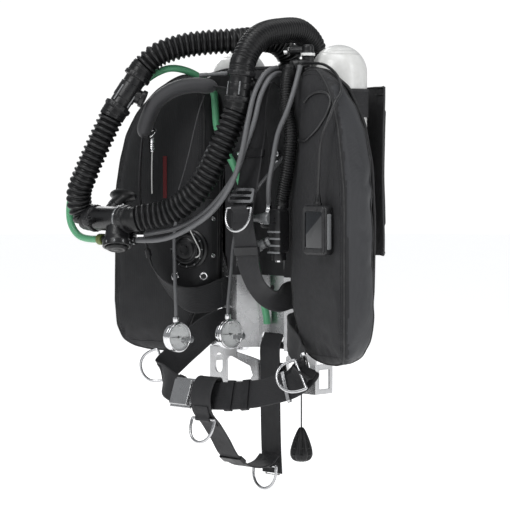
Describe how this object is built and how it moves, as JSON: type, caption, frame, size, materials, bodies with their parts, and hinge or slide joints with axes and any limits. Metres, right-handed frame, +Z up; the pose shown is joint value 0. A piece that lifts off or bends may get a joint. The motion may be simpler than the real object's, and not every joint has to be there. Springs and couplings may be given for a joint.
{
  "type": "rebreather with buoyancy vest",
  "caption": "Back-mounted diving rebreather with buoyancy bladder, counterlungs, steel backplate, webbing harness, breathing loop, gauges and handset.",
  "frame": {"origin": "centre of the backplate's front plane, where the diver's back rests", "axes": "+Z up, -Y forwards towards the diver, +X the diver's left"},
  "size_m": [0.598, 0.4649, 0.8521],
  "materials": {
    "steel": "brushed",
    "fabric": "coated nylon weave",
    "webbing": "ribbed webbing",
    "cord": "braided cord",
    "rubber": "satin",
    "plastic": "satin",
    "display": "gloss",
    "cylinder_paint": "gloss",
    "chrome": "polished",
    "grey_hose": "satin",
    "green_hose": "satin",
    "green_knob": "satin",
    "needle": "matt"
  },
  "bodies": {
    "unit": {"backplate": "steel", "base_stand": "steel", "wing": "fabric", "counterlung_left": "fabric", "counterlung_right": "fabric", "rear_cover": "fabric", "tank_band": "webbing", "scrubber_canister": "plastic", "canister_head": "plastic", "cylinder_left": "cylinder_paint", "cylinder_right": "cylinder_paint", "cylinder_valve_left": "chrome", "cylinder_valve_right": "chrome", "first_stage_left": "chrome", "first_stage_right": "chrome", "shoulder_strap_left": "webbing", "shoulder_strap_right": "webbing", "waist_strap_left": "webbing", "waist_strap_right": "webbing", "crotch_strap_rear": "webbing", "crotch_strap_front": "webbing", "triglide_shoulder": "steel", "belt_buckle": "steel", "mouthpiece_housing": "plastic", "mouthpiece_bite": "rubber", "loop_hose_exhale_front": "rubber", "loop_hose_exhale_rear": "rubber", "loop_hose_inhale_front": "rubber", "loop_hose_inhale_rear": "rubber", "tee_left": "plastic", "tee_right": "plastic", "inflator_body": "plastic", "inflator_hose": "rubber", "lp_hose_inflator": "grey_hose", "lp_hose_mouthpiece": "grey_hose", "oxygen_hose": "green_hose", "gauge_left": "chrome", "gauge_right": "chrome", "gauge_hose_left": "grey_hose", "gauge_hose_right": "grey_hose", "handset": "plastic", "handset_screen": "display", "handset_cable": "rubber", "dump_valve": "plastic"},
    "ring_shoulder": {"dring_shoulder": "steel"},
    "ring_waist_left": {"dring_waist_left": "steel"},
    "ring_waist_right": {"dring_waist_right": "steel"},
    "ring_crotch_front": {"dring_crotch_front": "steel"},
    "ring_crotch_rear": {"dring_crotch_rear": "steel"},
    "knob_left": {"valve_knob_left": "plastic"},
    "knob_right": {"valve_knob_right": "green_knob"},
    "buckle_cam": {"buckle_lever": "steel"},
    "loop_lever": {"mouthpiece_lever": "plastic"},
    "purge": {"purge_button": "rubber"},
    "inflate": {"inflate_button": "chrome"},
    "deflate": {"deflate_button": "chrome"},
    "needle_left": {"gauge_needle_left": "needle"},
    "needle_right": {"gauge_needle_right": "needle"},
    "pull": {"pull_cord": "cord", "pull_knob": "rubber"}
  },
  "joints": [
    {"name": "shoulder_ring_swing", "type": "hinge", "parent": "unit", "child": "ring_shoulder", "pos_m": [0.066, -0.117, 0.088], "axis": [0.9988, 0.0499, 0], "range_deg": [-60, 5]},
    {"name": "waist_ring_left_swing", "type": "hinge", "parent": "unit", "child": "ring_waist_left", "pos_m": [0.1895, -0.0915, -0.195], "axis": [-0.5604, 0.0824, 0.8241], "range_deg": [0, 60]},
    {"name": "waist_ring_right_swing", "type": "hinge", "parent": "unit", "child": "ring_waist_right", "pos_m": [-0.164, -0.088, -0.201], "axis": [-0.2832, -0.1699, 0.9439], "range_deg": [-45, 45]},
    {"name": "crotch_front_ring_swing", "type": "hinge", "parent": "unit", "child": "ring_crotch_front", "pos_m": [0, -0.141, -0.284], "axis": [1, 0, 0], "range_deg": [-60, 5]},
    {"name": "crotch_rear_ring_swing", "type": "hinge", "parent": "unit", "child": "ring_crotch_rear", "pos_m": [0, 0.013, -0.381], "axis": [1, 0, 0], "range_deg": [-60, 20]},
    {"name": "knob_left_turn", "type": "hinge", "parent": "unit", "child": "knob_left", "pos_m": [0.125, 0.073, -0.165], "axis": [1, 0, 0], "range_deg": [-720, 0]},
    {"name": "knob_right_turn", "type": "hinge", "parent": "unit", "child": "knob_right", "pos_m": [-0.125, 0.073, -0.165], "axis": [1, 0, 0], "range_deg": [-720, 0]},
    {"name": "buckle_lever_open", "type": "hinge", "parent": "unit", "child": "buckle_cam", "pos_m": [-0.078, -0.14206, -0.24083], "axis": [0, -0.3304, -0.9439], "range_deg": [0, 100]},
    {"name": "mouthpiece_lever_turn", "type": "hinge", "parent": "unit", "child": "loop_lever", "pos_m": [-0.1755, -0.2, 0.066], "axis": [-1, 0, 0], "range_deg": [0, 60]},
    {"name": "purge_press", "type": "slide", "parent": "unit", "child": "purge", "axis": [-0.2357, 0.2357, 0.9428], "range_m": [0, 0.003], "stiffness_N_per_m": 600},
    {"name": "inflate_press", "type": "slide", "parent": "unit", "child": "inflate", "axis": [0, 1, 0], "range_m": [0, 0.003], "stiffness_N_per_m": 500},
    {"name": "deflate_press", "type": "slide", "parent": "unit", "child": "deflate", "axis": [0, 0, 1], "range_m": [0, 0.003], "stiffness_N_per_m": 500},
    {"name": "needle_left_turn", "type": "hinge", "parent": "unit", "child": "needle_left", "pos_m": [-0.056, -0.033, -0.143], "axis": [0.9929, -0.1191, 0], "range_deg": [0, 270]},
    {"name": "needle_right_turn", "type": "hinge", "parent": "unit", "child": "needle_right", "pos_m": [-0.107, -0.114, -0.147], "axis": [0.9982, -0.0599, 0], "range_deg": [0, 270]},
    {"name": "pull_swing", "type": "hinge", "parent": "unit", "child": "pull", "pos_m": [0.136, -0.034, -0.152], "axis": [1, 0, 0], "range_deg": [-20, 16]}
  ]
}
